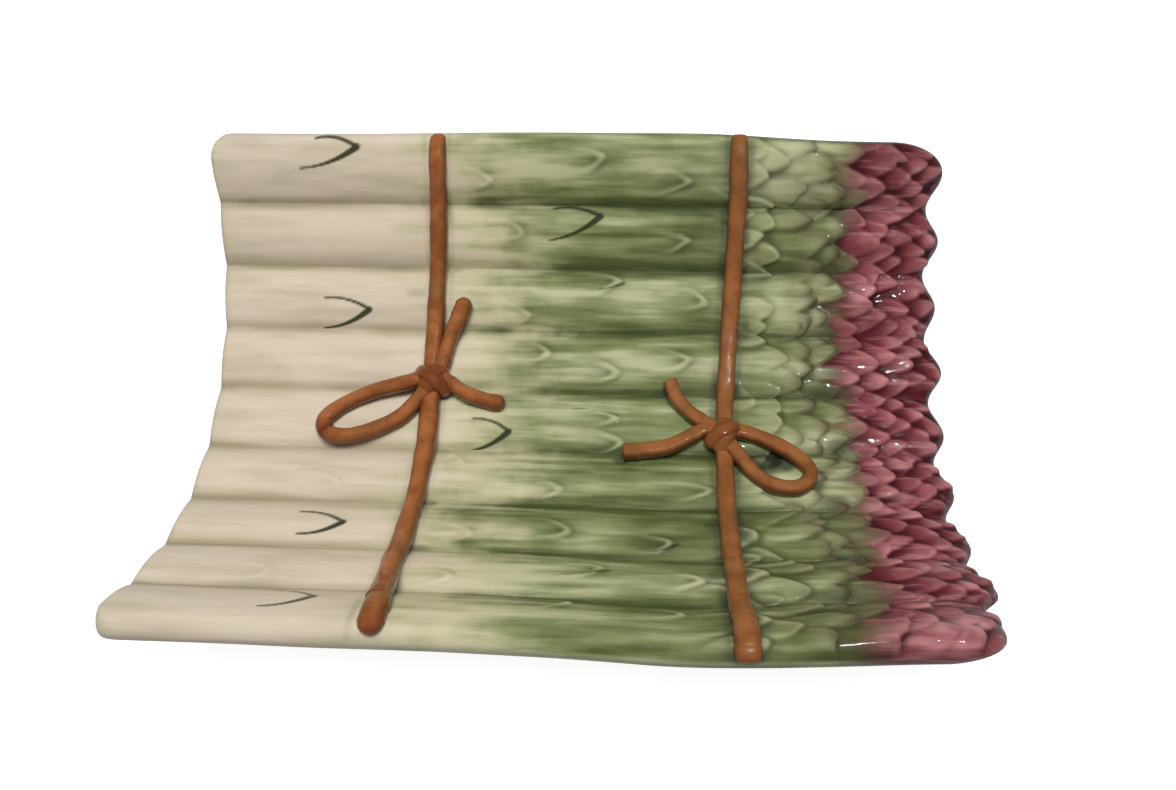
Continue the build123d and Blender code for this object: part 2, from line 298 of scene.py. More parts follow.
# Where the ties press on the spears, with dark glaze and painted shade beside them: the left one's
# place along X, and the right one's angles with its places along X
left_tie_line = -56.6
right_tie_line = (
    (-51.0, 62.4), (-37.0, 63.0), (-23.0, 62.6), (-10.0, 62.9),
    (2.0, 63.4), (16.0, 65.3), (31.0, 66.9), (51.0, 67.4),
)


def dark_runs_and_shade(x, around):
    # Dark glaze and painted shade in the listed spots, and uneven lines of both along both sides of
    # the ties
    run_and_shade = np.zeros_like(x)
    for spot_x, spot_angle, along, over, amount in run_and_shade_spots:
        away = np.hypot((x - spot_x) / along, (around - spot_angle) * arc_per_degree / over)
        run_and_shade = np.maximum(run_and_shade, amount * (1.0 - smooth_step(0.55, 1.35, away)))
    right_line = np.interp(around, *zip(*right_tie_line))
    uneven = np.abs(np.sin(around * 0.11 + 0.7) * np.sin(around * 0.29 + 0.03 * x))
    uneven = 0.35 + 0.65 * uneven
    for line, amount, beside, width in (
        (right_line, 0.75, 4.6, 1.5), (left_tie_line, 0.3, 4.8, 1.2),
    ):
        away = (np.abs(x - line) - beside) / width
        run_and_shade = np.maximum(run_and_shade, amount * uneven * np.exp(-away ** 2))
    return run_and_shade


# Mesh of a bar: rings along it, points round it, and the share of the rings up to each zone's end
spear_rings = 540
spear_around = 96
butt_share = 0.03
shaft_share = 0.58
bract_share = 0.87
bract_zone = 75.0


def bar_blank(around, first_cuts, second_cuts):
    # A round bar along X, cut across into rings, that spears and coils are pressed from
    bpy.ops.object.select_all(action="DESELECT")
    bpy.ops.mesh.primitive_cylinder_add(
        vertices=around, radius=1.0, depth=2.0, end_fill_type="TRIFAN",
        rotation=(0.0, math.pi / 2, 0.0),
    )
    bar = bpy.context.object
    bpy.ops.object.transform_apply(location=True, rotation=True, scale=True)
    for cuts in (first_cuts, second_cuts):
        bpy.ops.object.mode_set(mode="EDIT")
        bpy.ops.mesh.select_mode(type="EDGE")
        bpy.ops.mesh.select_all(action="DESELECT")
        bpy.ops.object.mode_set(mode="OBJECT")
        spots = np.empty(len(bar.data.vertices) * 3)
        bar.data.vertices.foreach_get("co", spots)
        ends = np.empty(len(bar.data.edges) * 2, int)
        bar.data.edges.foreach_get("vertices", ends)
        along = spots.reshape(-1, 3)[ends.reshape(-1, 2), 0]
        bar.data.edges.foreach_set("select", np.abs(along[:, 1] - along[:, 0]) > 1e-5)
        bpy.ops.object.mode_set(mode="EDIT")
        bpy.ops.mesh.subdivide(number_cuts=cuts)
        bpy.ops.object.mode_set(mode="OBJECT")
    bpy.ops.object.shade_smooth()
    return bar


def press_blank(blank, name, grid, values):
    # A copy of a blank, pressed to a grid of points in millimetres: a row for each ring, a column for
    # each place round it. The named values lie on the same grid. Each end is closed at its middle.
    piece = blank.copy()
    piece.data = blank.data.copy()
    piece.name = name
    bpy.context.collection.objects.link(piece)
    rings = grid.shape[0] - 1
    around = grid.shape[1]
    spots = np.empty(len(piece.data.vertices) * 3)
    piece.data.vertices.foreach_get("co", spots)
    spots = spots.reshape(-1, 3)
    ring = np.rint((spots[:, 0] + 1.0) / 2.0 * rings).astype(int)
    turn = np.arctan2(spots[:, 2], spots[:, 1]) / (2 * math.pi) * around
    turn = np.rint(turn).astype(int) % around
    hub = np.hypot(spots[:, 1], spots[:, 2]) < 0.5
    points = grid[ring, turn]
    points[hub] = grid[ring[hub]].mean(axis=1)
    piece.data.vertices.foreach_set("co", (points * 0.001).astype(np.float32).ravel())
    for layer_name, value in values.items():
        attribute = piece.data.attributes.new(layer_name, "FLOAT", "POINT")
        attribute.data.foreach_set("value", value[ring, turn].astype(np.float32).ravel())
    piece.data.update()
    return piece, ring, turn


def ring_stations(butt, nose):
    # Where the rings of a bar lie along X: closest at the butt, on the bracts and on the nose
    ease = np.linspace(0.0, 1.0, spear_rings + 1)
    zone_ends = (butt_share, shaft_share, bract_share)
    x = np.interp(ease, zone_ends, (butt + butt_round, bract_zone, nose))
    start = np.clip(ease / butt_share, 0.0, 1.0)
    x = np.where(ease < butt_share, butt + butt_round * start ** 2, x)
    swing = np.clip((ease - bract_share) / (1.0 - bract_share), 0.0, 1.0)
    swing = swing * math.radians(nose_swing)
    x = np.where(ease > bract_share, nose + nose_length * np.sin(swing), x)
    return x[:, None]


def round_the_bar(back_joined, front_joined):
    # Points round a ring, from the back edge over the top to the front edge and back below:
    # their share of the half width, which are on top, and which are on a side that is luted
    place = np.arange(spear_around)
    quarter = spear_around // 4
    top_side = place <= 2 * quarter
    across = np.where(top_side, 1.0 - place / quarter, place / quarter - 3.0)
    joined = np.where(across > 0, back_joined, front_joined)
    wider = np.clip(across * quarter / (quarter - 1), -1.0, 1.0)
    across = np.where(top_side | ~joined, across, wider)
    across = 0.6 * across + 0.4 * np.sin(across * math.pi / 2)
    return across, top_side, joined


# Paint on each spear, from the back rim to the front one: how heavily the green lies on the shaft
# and on the bracts, how light the plum is, and where green and purple begin along X
shaft_load = (-0.08, 0.12, -0.02, -0.03, -0.04, 0.1, 0.17, -0.12, 0.06)
bract_load = (-0.3, 0.0, -0.3, 0.0, 0.0, -0.45, 0.0, 0.3, 0.36)
plum_light = (0.0, 0.0, 0.0, 0.0, 0.0, 0.0, -0.2, 0.0, 0.35)
green_from = (-42.0, -35.0, -33.0, -29.0, -35.0, -34.0, -38.0, -33.0, -31.0)
purple_from = (117.0, 117.0, 115.0, 115.0, 117.0, 116.0, 117.0, 116.0, 109.0)
# Heights of relief at which pooled glaze with painted shade in a hollow, thinner glaze with a painted
# highlight on a ridge, and a bract show in full, and lengths of the washes
pool_shade_full = 0.4
ridge_highlight_full = 0.26
bract_full = 1.5
green_length = 100.0
purple_length = 20.0


def press_spear(blank, number):
    # One bar pressed to the form of its spear, with the values that its paint follows
    node = f"spear_{number}"
    butt = butt_place(number)
    tip = tip_place(number)
    nose = tip - nose_length
    angle = rim_angle - (number - 1) * spear_step
    back_tip = tip_place(max(number - 1, 1))
    front_tip = tip_place(min(number + 1, spear_count))
    x = ring_stations(butt, nose)
    across, top_side, joined = round_the_bar(number > 1, number < spear_count)

    # Outline from above: a lobe between valleys on a luted side, a rounded nose and corner on a rim
    run = np.maximum(x - nose, 0.0) * np.ones_like(across)
    rim_nose = back_rim_nose if number == 1 else front_rim_nose
    rim_run = np.maximum(x - tip + rim_nose, 0.0) * np.ones_like(across)
    corner = np.maximum(butt_corner - (x - butt), 0.0)
    inset = butt_corner - np.sqrt(butt_corner ** 2 - corner ** 2)
    rim_half = half_width
    if number == 1:
        bulge = smooth_step(-110.0, -10.0, x) * (1.0 - smooth_step(50.0, 110.0, x))
        taper = smooth_step(40.0, 130.0, x)
        rim_half = back_rim + back_rim_bulge * bulge - back_rim_taper * taper
    nose_side = front_nose_side if number == spear_count else 0.0
    shift = nose_side * smooth_step(tip - 30.0, tip, x)
    depth = np.where(across > 0, tip - back_tip, tip - front_tip) / 2 + valley_depth
    depth = np.maximum(depth, least_valley)
    lobe = np.arccos(np.clip(1.0 - 2.0 * (tip - x) / depth, -1.0, 1.0)) / math.pi
    lobe = lobe * (joint_half - shift)
    lobe = np.where(tip - x < depth, lobe, np.where(top_side, joint_half, half_width) - shift)
    seam = joined & (np.abs(across) > 0.999) & (tip - x >= depth)
    rim_width = np.sqrt(np.maximum(1.0 - (rim_run / rim_nose) ** 2, 0.0))
    rim_width = (rim_half + shift) * rim_width - inset
    side = shift + across * np.where(joined, lobe, rim_width)
    x = x * np.ones_like(side)

    # Section: crowned above and below, filled where it meets its neighbour, and rounded at its edges
    top = crown(np.hypot(run, side))
    beyond = crown(np.hypot(run, 2 * joint_half - np.abs(side)))
    filled = groove_soft + tip_fill * smooth_step(tip - 45.0, tip - 12.0, x)
    met = 0.5 * (top + beyond + np.sqrt((top - beyond) ** 2 + filled ** 2))
    top = np.where(joined, met, top)
    heel = -under_heel + (x - tip + half_width) * under_slope
    bottom = np.maximum(-crown(np.abs(side)), heel)
    share = np.minimum(np.abs(side - shift) / (joint_half - shift), 1.0)
    lobe_inside = 0.9 * (tip - x - depth / 2 * (1.0 - np.cos(share * math.pi)))
    rim_share = np.hypot(rim_run / rim_nose, (side - shift) / (rim_half + shift))
    rim_inside = (1.0 - rim_share) * rim_half - inset
    inside = np.where(joined, lobe_inside, rim_inside)
    rounded = np.sqrt(1.0 - (1.0 - np.clip(inside / edge_round, 0.0, 1.0)) ** 2)
    nosing = np.clip((x - butt) / butt_round, 0.0, 1.0)
    nosing = np.sqrt(np.maximum(1.0 - (1.0 - nosing) ** 2, 0.0))
    nosing = butt_edge + (1.0 - butt_edge) * nosing
    top = edge_middle + (top - edge_middle) * rounded * nosing
    bottom = edge_middle + (bottom - edge_middle) * rounded * nosing

    # Leaves and bracts, with those of the neighbours, because they reach across the joints
    relief = np.zeros_like(x)
    lead = x
    tone = np.zeros_like(x)
    near = np.zeros_like(x)
    for beside in range(max(number - 1, 1), min(number + 1, spear_count) + 1):
        offset = (beside - number) * 2 * joint_half
        leaves = spear_leaves(beside)
        relief, lead, tone, near = leaf_relief(x, side + offset, leaves, relief, lead, tone, near)
    fade = smooth_step(0.0, 1.2, inside)
    relief = spread(np.where(top_side, relief * fade, 0.0), 1)
    soft = spread(relief, 5)
    shaft_wide = spread(soft, 9) * (1.5 - 0.5 * smooth_step(60.0, 80.0, x))
    wide = np.maximum(spread(soft, 36), shaft_wide)
    around = angle + np.degrees(side / spear_radius)
    height = np.where(top_side, top, bottom)
    height = height + clay_wobble(x, around) * nosing
    lean = np.maximum(height + crown_drop, 20.0)
    length = np.sqrt(run ** 2 + side ** 2 + lean ** 2)
    x = x + relief * run / length
    side = side + relief * side / length
    height = height + relief * lean / length

    # Luted sides are kept flat on their joints, and the butts end on one even curve
    limit = (spear_radius - height) * math.tan(math.radians(spear_step / 2))
    side = np.where(joined, np.clip(side, -limit, limit), side)
    side = np.where(seam, np.sign(across) * limit, side)
    middle_angles = [(place - spear_count // 2) * spear_step for place in range(spear_count)]
    butts = [butt_place(place) for place in range(spear_count, 0, -1)]
    butt_line = np.interp(around, middle_angles, butts)
    butt_line = butt_line - front_butt_draw * smooth_step(20.0, 50.0, -around)
    x = x + (butt_line - butt) * (1.0 - smooth_step(0.0, 25.0, x - butt))

    # Place in the trough
    turned = math.radians(angle)
    y = spear_radius * math.sin(turned) + side * math.cos(turned) - height * math.sin(turned)
    y = y + rim_lean(x, around)
    z = axis_height - spear_radius * math.cos(turned)
    z = z + side * math.sin(turned) + height * math.cos(turned)

    # Paint: how thickly it lies, with painted shade on each spear's flanks and on its side turned
    # from the overhead lamp, where the purple begins, glaze gathered with painted shade in the
    # grooves, and the outer side of the front rim's tip, where the glaze stays thin and light. Most
    # of it is on top.
    load_and_shade = 0.4 * (side / joint_half) ** 2 - 0.28 * side / joint_half * math.sin(turned)
    load_and_shade = load_and_shade + shaft_load[number - 1]
    load_and_shade = load_and_shade + bract_load[number - 1] * smooth_step(68.0, 84.0, x)
    blush = 0.45 * x + 0.55 * lead - purple_from[number - 1] - 2.0 + 3.0 * tone
    groove = np.exp(-(np.maximum(joint_half - np.abs(side), 0.0) / 2.4) ** 2)
    groove = groove * (1.0 - 0.9 * smooth_step(tip - 55.0, tip - 25.0, x))
    thin = np.zeros_like(x)
    if number == spear_count:
        thin = 0.55 * smooth_step(0.0, 9.0, -side) * smooth_step(98.0, 112.0, x)
    painted = {
        # In the hollows beside the relief: pooled glaze with painted shade. On raised edges: thinner
        # glaze with a painted highlight.
        "pool_shade": np.clip((wide - relief) / pool_shade_full, 0.0, 1.0),
        "ridge_highlight": np.clip((relief - soft) / ridge_highlight_full, 0.0, 1.0),
        "rise": relief / bract_full + thin,
        "load_and_shade": load_and_shade,
        "groove": np.where(joined, groove, 0.0),
        "stroke": brush_strokes(number, x, side),
        "near": spread(near * fade, 1),
        # Dark glaze runs, and painted shade in the right bow loop's hole and beside the ties
        "run_and_shade": dark_runs_and_shade(x, around),
    }
    values = {name: np.where(top_side, value, 0.0) for name, value in painted.items()}
    values["wash"] = (x - green_from[number - 1]) / green_length
    values["blush"] = spread(blush / purple_length, 1)
    values["tone"] = 0.5 + 0.5 * tone + plum_light[number - 1]
    below = np.where(joined, 1.0, smooth_step(4.0, 6.3, -height))
    values["under"] = np.where(top_side, 0.0, below)

    # Mesh: a copy of the blank, with the edges along the joints kept crisp
    grid = np.stack((x, y, z), axis=-1)
    spear, ring, turn = press_blank(blank, f"asparagus_{node}", grid, values)
    ends = np.empty(len(spear.data.edges) * 2, int)
    spear.data.edges.foreach_get("vertices", ends)
    crisp = seam[ring, turn][ends.reshape(-1, 2)].all(axis=1)
    spear.data.edges.foreach_set("use_edge_sharp", crisp)
    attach(spear, "root")
    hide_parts(node)
    return spear


def paint(red, green, blue):
    # A colour as it looks, 0 to 255, as the linear colour that a socket takes
    def line(level):
        level = level / 255.0
        return level / 12.92 if level <= 0.04045 else ((level + 0.055) / 1.055) ** 2.4
    return (line(red), line(green), line(blue), 1.0)


# Ivory of the butts and the underside, from light to dark, the darkest for thick glaze with painted
# shade on the flanks and for gathered glaze with painted shade in hollows and grooves
ivory = paint(220, 206, 184)
warm_ivory = paint(216, 196, 178)
plain_ivory = paint(214, 203, 180)
straw = paint(204, 190, 160)
putty = paint(184, 171, 146)
thick_and_shaded_putty = paint(166, 152, 126)
pool_shade_putty = paint(160, 152, 118)
groove_putty = paint(158, 147, 116)
# Greens of the shafts, with painted highlight greens for raised leaves and ridges, painted shade
# greens for grooves and hollows, and the near black of the dark runs with painted shade beside the
# ties, and of the marks
pale_green = paint(196, 192, 152)
ridge_highlight_sage = paint(190, 190, 152)
light_sage = paint(186, 188, 148)
raised_highlight_sage = paint(170, 170, 130)
sage = paint(134, 141, 95)
deep_sage = paint(84, 94, 52)
groove_moss = paint(60, 70, 36)
pool_shade_moss = paint(60, 68, 36)
run_and_shade_green = paint(44, 52, 40)
mark_green = paint(38, 44, 22)
# Browns where the green turns to purple, the darkest for pooled glaze with painted shade in hollows
light_bark = paint(94, 82, 54)
bark = paint(64, 52, 34)
pool_shade_bark = paint(32, 24, 18)
# Plums of the tips, with painted highlights for raised bracts and ridges, and painted shade for low
# parts, grooves and hollows
streak_rose = paint(198, 140, 140)
ridge_highlight_rose = paint(196, 140, 136)
raised_highlight_rose = paint(192, 130, 132)
light_plum = paint(148, 78, 83)
plum = paint(108, 40, 50)
clouded_plum = paint(96, 30, 40)
low_shade_plum = paint(78, 14, 26)
groove_plum = paint(72, 14, 26)
pool_shade_plum = paint(56, 8, 18)


def feed(socket, source):
    # Joins a source to a socket, or sets the socket where the source is a plain value
    if isinstance(source, bpy.types.NodeSocket):
        socket.id_data.links.new(source, socket)
    else:
        socket.default_value = source


def calc(operation, first, second):
    # One step of arithmetic, in the node tree that the first value belongs to
    node = first.id_data.nodes.new("ShaderNodeMath")
    node.operation = operation
    feed(node.inputs[0], first)
    feed(node.inputs[1], second)
    return node.outputs[0]


def times(first, second):
    # The product of two values
    return calc("MULTIPLY", first, second)


def plus(value, extra, share):
    # A value with a share of another added
    return calc("ADD", value, times(extra, share))


def ramp(value, low, high, to_low=0.0, to_high=1.0):
    # A soft change from one amount to another as a value goes from low to high
    node = value.id_data.nodes.new("ShaderNodeMapRange")
    node.interpolation_type = "SMOOTHSTEP"
    feed(node.inputs["Value"], value)
    node.inputs["From Min"].default_value = low
    node.inputs["From Max"].default_value = high
    node.inputs["To Min"].default_value = to_low
    node.inputs["To Max"].default_value = to_high
    return node.outputs["Result"]


def blend(share, under, over):
    # One colour laid over another by a share
    node = share.id_data.nodes.new("ShaderNodeMix")
    node.data_type = "RGBA"
    feed(node.inputs[0], share)
    feed(node.inputs[6], under)
    feed(node.inputs[7], over)
    return node.outputs[2]


def layer(tree, name):
    # A value that press_blank put on the piece
    node = tree.nodes.new("ShaderNodeAttribute")
    node.attribute_name = name
    return node.outputs["Fac"]


def brush_marks():
    # The streaks that a loaded brush leaves, drawn out along X, and the specks of the glaze
    group = bpy.data.node_groups.new("brush_marks", "ShaderNodeTree")
    for name in ("Along", "Across"):
        group.interface.new_socket(name, in_out="INPUT", socket_type="NodeSocketFloat")
    for name in ("Patch", "Streak", "Grain", "Cloud"):
        group.interface.new_socket(name, in_out="OUTPUT", socket_type="NodeSocketFloat")
    inside = group.nodes.new("NodeGroupInput")
    outside = group.nodes.new("NodeGroupOutput")
    place = group.nodes.new("ShaderNodeTexCoord").outputs["Object"]
    stretch = group.nodes.new("ShaderNodeCombineXYZ")
    group.links.new(inside.outputs["Along"], stretch.inputs[0])
    group.links.new(inside.outputs["Across"], stretch.inputs[1])
    group.links.new(inside.outputs["Across"], stretch.inputs[2])
    drawn = group.nodes.new("ShaderNodeVectorMath")
    drawn.operation = "MULTIPLY"
    group.links.new(place, drawn.inputs[0])
    group.links.new(stretch.outputs[0], drawn.inputs[1])
    broad = group.nodes.new("ShaderNodeVectorMath")
    broad.operation = "MULTIPLY"
    group.links.new(drawn.outputs[0], broad.inputs[0])
    broad.inputs[1].default_value = (0.9, 0.42, 0.42)
    for name, vector, scale, detail in (
        ("Patch", broad.outputs[0], 1.0, 1.5), ("Streak", drawn.outputs[0], 1.0, 4.0),
        ("Grain", place, 420.0, 2.0), ("Cloud", place, 70.0, 2.5),
    ):
        noise = group.nodes.new("ShaderNodeTexNoise")
        noise.inputs["Scale"].default_value = scale
        noise.inputs["Detail"].default_value = detail
        noise.inputs["Roughness"].default_value = 0.6
        group.links.new(vector, noise.inputs["Vector"])
        group.links.new(noise.outputs["Fac"], outside.inputs[name])


def brushed(tree, along, across):
    # The brush marks in one material, with how often they repeat in a metre
    node = tree.nodes.new("ShaderNodeGroup")
    node.node_tree = bpy.data.node_groups["brush_marks"]
    node.inputs["Along"].default_value = along
    node.inputs["Across"].default_value = across
    return [node.outputs[name] for name in ("Patch", "Streak", "Grain", "Cloud")]


def gloss(material, colour, roughness, height, bump_depth):
    # A clear gloss glaze over the painted colour
    tree = material.node_tree
    shader = tree.nodes["Principled BSDF"]
    bump = tree.nodes.new("ShaderNodeBump")
    bump.inputs["Strength"].default_value = 0.5
    bump.inputs["Distance"].default_value = bump_depth
    tree.links.new(height, bump.inputs["Height"])
    tree.links.new(bump.outputs["Normal"], shader.inputs["Normal"])
    tree.links.new(colour, shader.inputs["Base Color"])
    tree.links.new(roughness, shader.inputs["Roughness"])
    shader.inputs["Specular IOR Level"].default_value = 0.25
    shader.inputs["Coat Weight"].default_value = 0.5
    shader.inputs["Coat Roughness"].default_value = 0.03
    shader.inputs["Coat IOR"].default_value = 1.5


def new_finish(name):
    # A material and its node tree
    finish = bpy.data.materials.new(name)
    finish.use_nodes = True
    return finish, finish.node_tree


def painted_spear_glaze():
    # Ivory, sage and plum, brushed one over the other along the spears
    glaze, tree = new_finish("painted_spear_glaze")
    patch, streak, grain, cloud = brushed(tree, 26.0, 330.0)
    wash, blush, pool_shade, ridge_highlight, rise, load_and_shade, groove, stroke, tone, near, run_and_shade, under = [
        layer(tree, name) for name in (
            "wash", "blush", "pool_shade", "ridge_highlight", "rise", "load_and_shade",
            "groove", "stroke", "tone", "near", "run_and_shade", "under",
        )
    ]
    streaky = ramp(streak, 0.36, 0.66)
    clouded = ramp(cloud, 0.35, 0.68)
    patchy = calc("SUBTRACT", patch, 0.5)
    blotchy = calc("SUBTRACT", cloud, 0.5)
    combed = calc("SUBTRACT", streak, 0.5)

    # Ivory butts, with gathered glaze and painted shade in the grooves and hollows, and darker where
    # the glaze lies thick and where painted shade lies on the flanks
    cream = blend(times(streaky, 0.5), ivory, straw)
    cream = blend(times(clouded, 0.4), cream, warm_ivory)
    cream = blend(ramp(patch, 0.44, 0.7, 0.0, 0.45), cream, putty)
    dusky = times(groove, ramp(patch, 0.3, 0.6, 0.3, 0.9))
    cream = blend(dusky, cream, groove_putty)
    cream = blend(times(pool_shade, 0.4), cream, pool_shade_putty)
    cream = blend(ramp(load_and_shade, 0.1, 0.65, 0.0, 0.6), cream, thick_and_shaded_putty)

    # Sage shafts, which begin with a ragged edge and are deepest where the brush was loaded and where
    # painted shade lies on the flanks
    edge = plus(wash, patchy, 0.8)
    edge = plus(edge, blotchy, 0.45)
    edge = plus(edge, combed, 0.3)
    edge = plus(edge, load_and_shade, 0.12)
    pale = blend(ramp(edge, -0.4, 0.1, 0.0, 0.85), cream, pale_green)
    depth = plus(load_and_shade, patchy, 1.5)
    depth = plus(depth, combed, 1.0)
    depth = plus(depth, blotchy, 0.4)
    depth = calc("ADD", depth, ramp(wash, 0.1, 0.9, 0.0, 0.12))
    green = blend(ramp(depth, -0.3, 0.25), light_sage, sage)
    green = blend(ramp(depth, 0.1, 0.7), green, deep_sage)
    # Painted highlight on the raised leaves
    green = blend(times(ramp(rise, 0.3, 0.9), 0.4), green, raised_highlight_sage)
    # Gathered glaze with painted shade in the grooves and hollows, and thinner glaze with a painted
    # highlight on the ridges
    green_groove_shade = times(groove, ramp(streak, 0.3, 0.6, 0.35, 0.9))
    green = blend(green_groove_shade, green, groove_moss)
    green = blend(times(pool_shade, 0.85), green, pool_shade_moss)
    green = blend(times(ridge_highlight, 0.4), green, ridge_highlight_sage)
    body = blend(ramp(edge, -0.2, 0.36), pale, green)
    # Dark glaze runs, with painted shade in the right bow loop's hole and beside the ties
    dark = times(run_and_shade, ramp(cloud, 0.28, 0.55, 0.45, 1.0))
    body = blend(dark, body, run_and_shade_green)

    # Brown rims on the bracts where the green turns, with pooled glaze and painted shade in their
    # hollows
    turned = plus(blush, combed, 0.5)
    brown = blend(times(pool_shade, 0.8), bark, pool_shade_bark)
    brown = blend(ramp(patch, 0.46, 0.64), brown, light_bark)
    leafy = calc("MAXIMUM", ramp(near, 0.05, 0.55), ramp(turned, -0.5, 0.1))
    browned = times(ramp(turned, -1.9, -0.5), times(leafy, 0.9))
    body = blend(browned, body, brown)

    # Plum tips, with a painted highlight on the raised bracts and painted shade low between them
    tips = blend(tone, plum, light_plum)
    tips = blend(ramp(rise, 0.15, 0.6, 0.9, 0.0), tips, low_shade_plum)
    # Painted highlight on the raised middles of the bracts
    light = times(ramp(rise, 0.45, 0.95), ramp(patch, 0.38, 0.6, 0.2, 0.95))
    tips = blend(light, tips, raised_highlight_rose)
    tips = blend(ramp(cloud, 0.42, 0.66, 0.0, 0.6), tips, clouded_plum)
    tips = blend(ramp(streak, 0.5, 0.68, 0.0, 0.5), tips, streak_rose)
    # Gathered glaze with painted shade in the grooves and hollows, and thinner glaze with a painted
    # highlight on the ridges
    tips = blend(times(groove, 0.5), tips, groove_plum)
    tips = blend(times(pool_shade, 0.95), tips, pool_shade_plum)
    tips = blend(times(ridge_highlight, 0.15), tips, ridge_highlight_rose)
    body = blend(ramp(turned, -0.2, 0.2), body, tips)

    # Painted marks, and the plain underside
    body = blend(times(stroke, 0.95), body, mark_green)
    body = blend(under, body, plain_ivory)
    gloss(glaze, body, ramp(cloud, 0.3, 0.7, 0.32, 0.45), grain, 0.00015)
    return glaze


brush_marks()
spear_glaze = painted_spear_glaze()
spear_blank = bar_blank(spear_around, 19, 26)
for number in range(1, spear_count + 1):
    spear = press_spear(spear_blank, number)
    spear.data.materials.append(spear_glaze)
bpy.data.objects.remove(spear_blank)

# Foot ring: a low frame of the same clay, luted under the trough so that it stands.
# It is ivory glazed, and wiped bare along the edge that rests on the table.
foot_ivory = paint(216, 204, 182)
foot_straw = paint(200, 187, 162)
bare_clay = paint(206, 176, 140)
wiped_to = 0.0012
glazed_from = 0.0018
foot_glaze, tree = new_finish("ivory_foot_glaze")
_, _, grain, cloud = brushed(tree, 60.0, 200.0)
foot_colour = blend(ramp(cloud, 0.35, 0.68), foot_ivory, foot_straw)
place = tree.nodes.new("ShaderNodeSeparateXYZ")
tree.links.new(tree.nodes.new("ShaderNodeTexCoord").outputs["Object"], place.inputs[0])
bare = ramp(place.outputs["Z"], wiped_to, glazed_from, 1.0, 0.0)
foot_colour = blend(bare, foot_colour, bare_clay)
foot_roughness = ramp(place.outputs["Z"], wiped_to, glazed_from, 0.75, 0.2)
gloss(foot_glaze, foot_colour, foot_roughness, grain, 0.00015)
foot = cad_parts["foot_ring"]
foot.data.materials.clear()
foot.data.materials.append(foot_glaze)

# The tie near the butts: hand-rolled coils of clay, pressed across the spears and tied in a bow.
# The strands run from the knot to both rims; the end at the front is a second length with a crease.
crest_radius = 117.5
rim_thick = 6.5
groove_dip = 0.5
strand_spacing = 2.1
left_lift = 1.6
coil_around = 28
coil_rings = 160
full_turn = 6.283
right_olive = 0.3
rust = paint(164, 100, 56)
deep_rust = paint(134, 75, 36)
clouded_brown = paint(118, 82, 40)
speck_rust = paint(182, 122, 74)
olive_brown = paint(112, 84, 42)
# Painted shade browns: along the coils' edges, where glaze also pools, and in the creases
edge_shade_brown = paint(84, 44, 16)
crease_shade_brown = paint(96, 34, 14)


def trough_point(x, angle, lift):
    # A point above the crests, at a place along X and an angle round the trough
    turned = math.radians(angle)
    radius = crest_radius - lift
    y = radius * math.sin(turned) + rim_lean(x, angle)
    return (x, y, axis_height - radius * math.cos(turned))


def trough_up(angle):
    # The direction away from the clay, towards the trough's axis
    turned = math.radians(angle)
    return (0.0, -math.sin(turned), math.cos(turned))


def laid(places):
    # Points and up directions for a coil that lies on the crests: place along, angle, lift
    return [(trough_point(x, angle, lift), trough_up(angle)) for x, angle, lift in places]


def strand_run(places, lift):
    # A strand lifted off the crests, through places along X and angles, that sinks into each groove
    order = sorted(places, key=lambda spot: spot[1])
    spots = [x for x, _ in order]
    angles = [angle for _, angle in order]
    first = places[0][1]
    last = places[-1][1]
    run = []
    for angle in np.linspace(first, last, int(abs(last - first) / strand_spacing)):
        x = np.interp(angle, angles, spots)
        sunk = groove_dip * (0.5 - 0.5 * math.cos(math.radians(angle / spear_step * 360.0)))
        run.append((x, angle, lift - sunk))
    return laid(run)


def over_rim(x, outward, bends):
    # Points and up directions for a coil bent round a rim spear: turn round it, rise above it
    turned = math.radians(rim_angle) * outward
    middle = np.array(trough_point(x, rim_angle * outward, crest_radius - spear_radius))
    out = np.array((0.0, math.cos(turned), math.sin(turned))) * outward
    up = np.array(trough_up(rim_angle * outward))
    bent = []
    for sweep, rise in bends:
        turn = math.radians(sweep)
        wide = half_width + rise
        thick = rim_thick + rise
        spot = middle + out * math.cos(turn) * wide + up * math.sin(turn) * thick
        normal = out * math.cos(turn) * thick + up * math.sin(turn) * wide
        bent.append((tuple(spot), tuple(normal / np.linalg.norm(normal))))
    return bent


def smooth_line(knots, count):
    # An even walk along a smooth line through the knots, and how far each step has come
    knots = np.array(knots, float)
    padded = np.vstack((2 * knots[0] - knots[1], knots, 2 * knots[-1] - knots[-2]))
    steps = []
    for first, second, third, fourth in zip(padded[:-3], padded[1:-2], padded[2:-1], padded[3:]):
        share = np.linspace(0.0, 1.0, 40, endpoint=False)[:, None]
        steps.append(0.5 * (2 * second + (third - first) * share
                            + (2 * first - 5 * second + 4 * third - fourth) * share ** 2
                            + (3 * second - first - 3 * third + fourth) * share ** 3))
    line = np.vstack(steps + [knots[-1:]])
    paces = np.linalg.norm(np.diff(line[:, :3], axis=0), axis=1)
    walked = np.concatenate(((0.0,), np.cumsum(paces)))
    even = np.linspace(0.0, walked[-1], count)
    return np.stack([np.interp(even, walked, column) for column in line.T], axis=1), even


